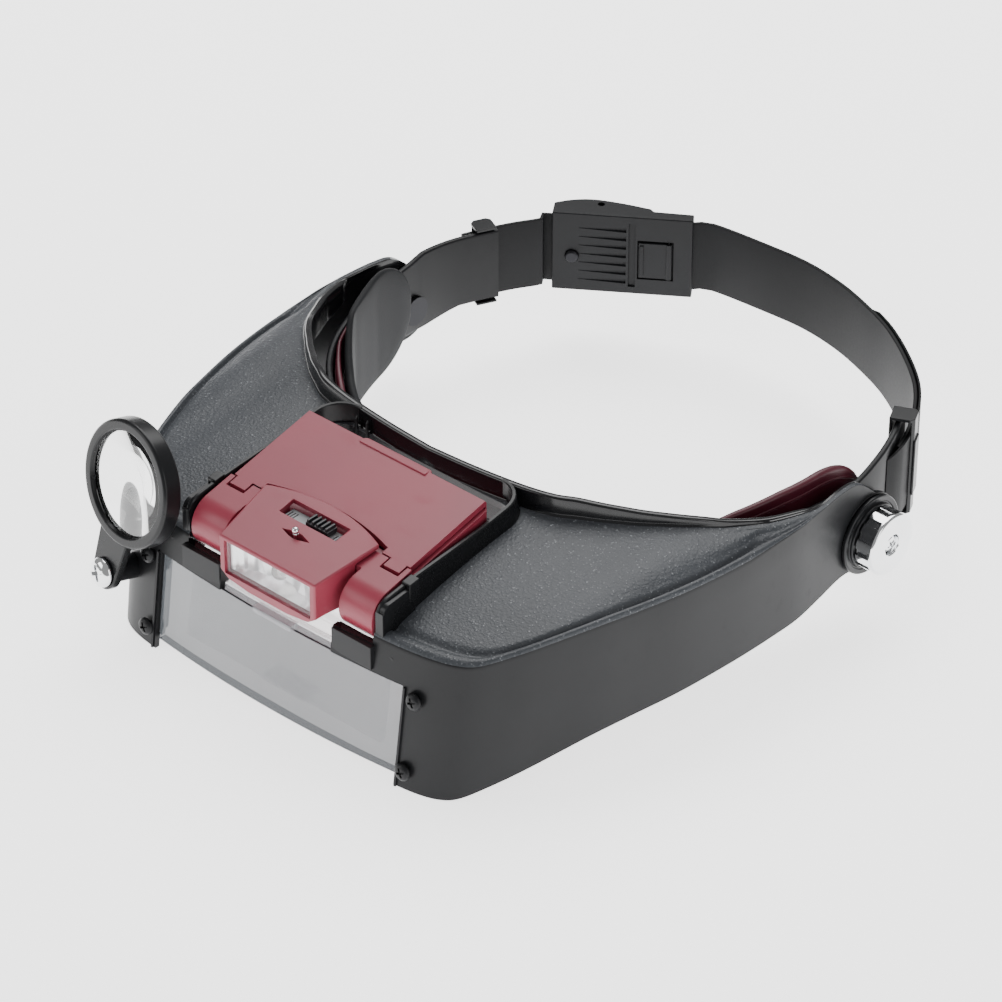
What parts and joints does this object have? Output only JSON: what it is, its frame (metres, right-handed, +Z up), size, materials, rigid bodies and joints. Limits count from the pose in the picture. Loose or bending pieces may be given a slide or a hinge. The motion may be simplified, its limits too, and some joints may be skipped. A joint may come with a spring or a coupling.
{
  "type": "head visor magnifier",
  "caption": "Head-worn magnifier: tilting visor with wide lens, flip-down second lens, swing loupe and aimable lamp, on a padded headband with buckle strap.",
  "frame": {"origin": "bottom centre of the whole object's box, with the headband level as worn", "axes": "+X to the wearer's left, -Y forward, +Z up"},
  "size_m": [0.1924, 0.2292, 0.0674],
  "materials": {
    "visor_black": "satin black moulding with spark-eroded top panels",
    "lens_clear": "polished clear acrylic",
    "screw_black": "black oxide",
    "ring_black": "satin black",
    "chrome_bright": "bright chrome plate",
    "steel_plain": "plain steel",
    "maroon_plastic": "fine satin maroon moulding",
    "reflector_silver": "vacuum-metallised reflector",
    "board_green": "circuit board",
    "scale_grey": "pale grey scale plate",
    "switch_black": "black slider",
    "cell_jacket": "printed-free dark jacket",
    "bulb_clear": "clear bulb",
    "loupe_black": "glossy black moulding",
    "band_black": "satin black moulding",
    "pad_maroon": "soft satin maroon",
    "cushion_grey": "soft dark grey foam skin",
    "strap_black": "dark grey satin strap",
    "buckle_black": "satin dark buckle"
  },
  "bodies": {
    "headband": {"forehead_band": "band_black", "forehead_pad_shell": "pad_maroon", "forehead_cushion": "cushion_grey", "strap_left": "strap_black", "strap_right": "strap_black", "keeper_left": "band_black", "keeper_right": "band_black", "buckle_body": "buckle_black", "latch_pin": "steel_plain", "strap_rivet": "steel_plain", "clamp_bolt_left": "steel_plain", "clamp_bolt_right": "steel_plain", "friction_washer_left": "steel_plain", "friction_washer_right": "steel_plain"},
    "visor": {"visor_shell": "visor_black", "main_lens": "lens_clear", "lens_clip_left": "visor_black", "lens_clip_right": "visor_black", "lens_screw_left_upper": "screw_black", "lens_screw_left_lower": "screw_black", "lens_screw_right_upper": "screw_black", "lens_screw_right_lower": "screw_black", "boss_rings_left": "ring_black", "boss_rings_right": "ring_black", "loupe_screw": "chrome_bright", "loupe_washer": "steel_plain"},
    "lamp": {"lamp_base": "maroon_plastic", "lamp_hood": "maroon_plastic", "reflector": "reflector_silver", "lamp_window": "lens_clear", "circuit_board": "board_green", "scale_plate": "scale_grey", "battery_front": "cell_jacket", "battery_rear": "cell_jacket", "contact_plate_left": "steel_plain", "contact_plate_right": "steel_plain", "contact_spring_front": "steel_plain", "contact_spring_rear": "steel_plain"},
    "battery_cover": {"battery_cover": "maroon_plastic"},
    "switch": {"switch_slider": "switch_black"},
    "bulb_slide": {"bulb": "bulb_clear", "bulb_carrier": "steel_plain", "aim_lever": "chrome_bright"},
    "second_lens": {"flip_lens": "lens_clear"},
    "loupe": {"loupe_frame": "loupe_black", "loupe_lens": "lens_clear", "loupe_ring": "loupe_black"},
    "knob_left": {"knob_left": "chrome_bright", "knob_screw_left": "chrome_bright"},
    "knob_right": {"knob_right": "chrome_bright", "knob_screw_right": "chrome_bright"},
    "latch": {"buckle_latch": "buckle_black"}
  },
  "joints": [
    {"name": "visor_tilt", "type": "hinge", "parent": "headband", "child": "visor", "pos_m": [0, 0.0369, 0.026], "axis": [-1, 0, 0], "range_deg": [0, 50]},
    {"name": "knob_left_turn", "type": "hinge", "parent": "headband", "child": "knob_left", "pos_m": [0.0902, 0.0369, 0.026], "axis": [1, 0, 0], "range_deg": [0, 270]},
    {"name": "knob_right_turn", "type": "hinge", "parent": "headband", "child": "knob_right", "pos_m": [-0.0902, 0.0369, 0.026], "axis": [-1, 0, 0], "range_deg": [0, 270]},
    {"name": "lamp_tilt", "type": "hinge", "parent": "visor", "child": "lamp", "pos_m": [0, -0.0946, 0.0434], "axis": [1, 0, 0], "range_deg": [0, 15]},
    {"name": "battery_cover_open", "type": "hinge", "parent": "lamp", "child": "battery_cover", "pos_m": [0, -0.0866, 0.053], "axis": [1, 0, 0], "range_deg": [0, 70]},
    {"name": "switch_slide", "type": "slide", "parent": "lamp", "child": "switch", "axis": [1, 0, 0], "range_m": [-0.008, 0.003]},
    {"name": "bulb_aim_slide", "type": "slide", "parent": "lamp", "child": "bulb_slide", "axis": [1, 0, 0], "range_m": [-0.0025, 0.0025]},
    {"name": "second_lens_flip", "type": "hinge", "parent": "visor", "child": "second_lens", "pos_m": [0, -0.0965, 0.033], "axis": [1, 0, 0], "range_deg": [0, 85]},
    {"name": "loupe_swing", "type": "hinge", "parent": "visor", "child": "loupe", "pos_m": [-0.0585, -0.1106, 0.0213], "axis": [-0.133, -0.9666, 0.2189], "range_deg": [-83, 45]},
    {"name": "buckle_latch_lift", "type": "hinge", "parent": "headband", "child": "latch", "pos_m": [-0.03987, 0.10254, 0.0302], "axis": [0, 0, 1], "range_deg": [0, 25], "stiffness_Nm_per_rad": 0.004}
  ]
}
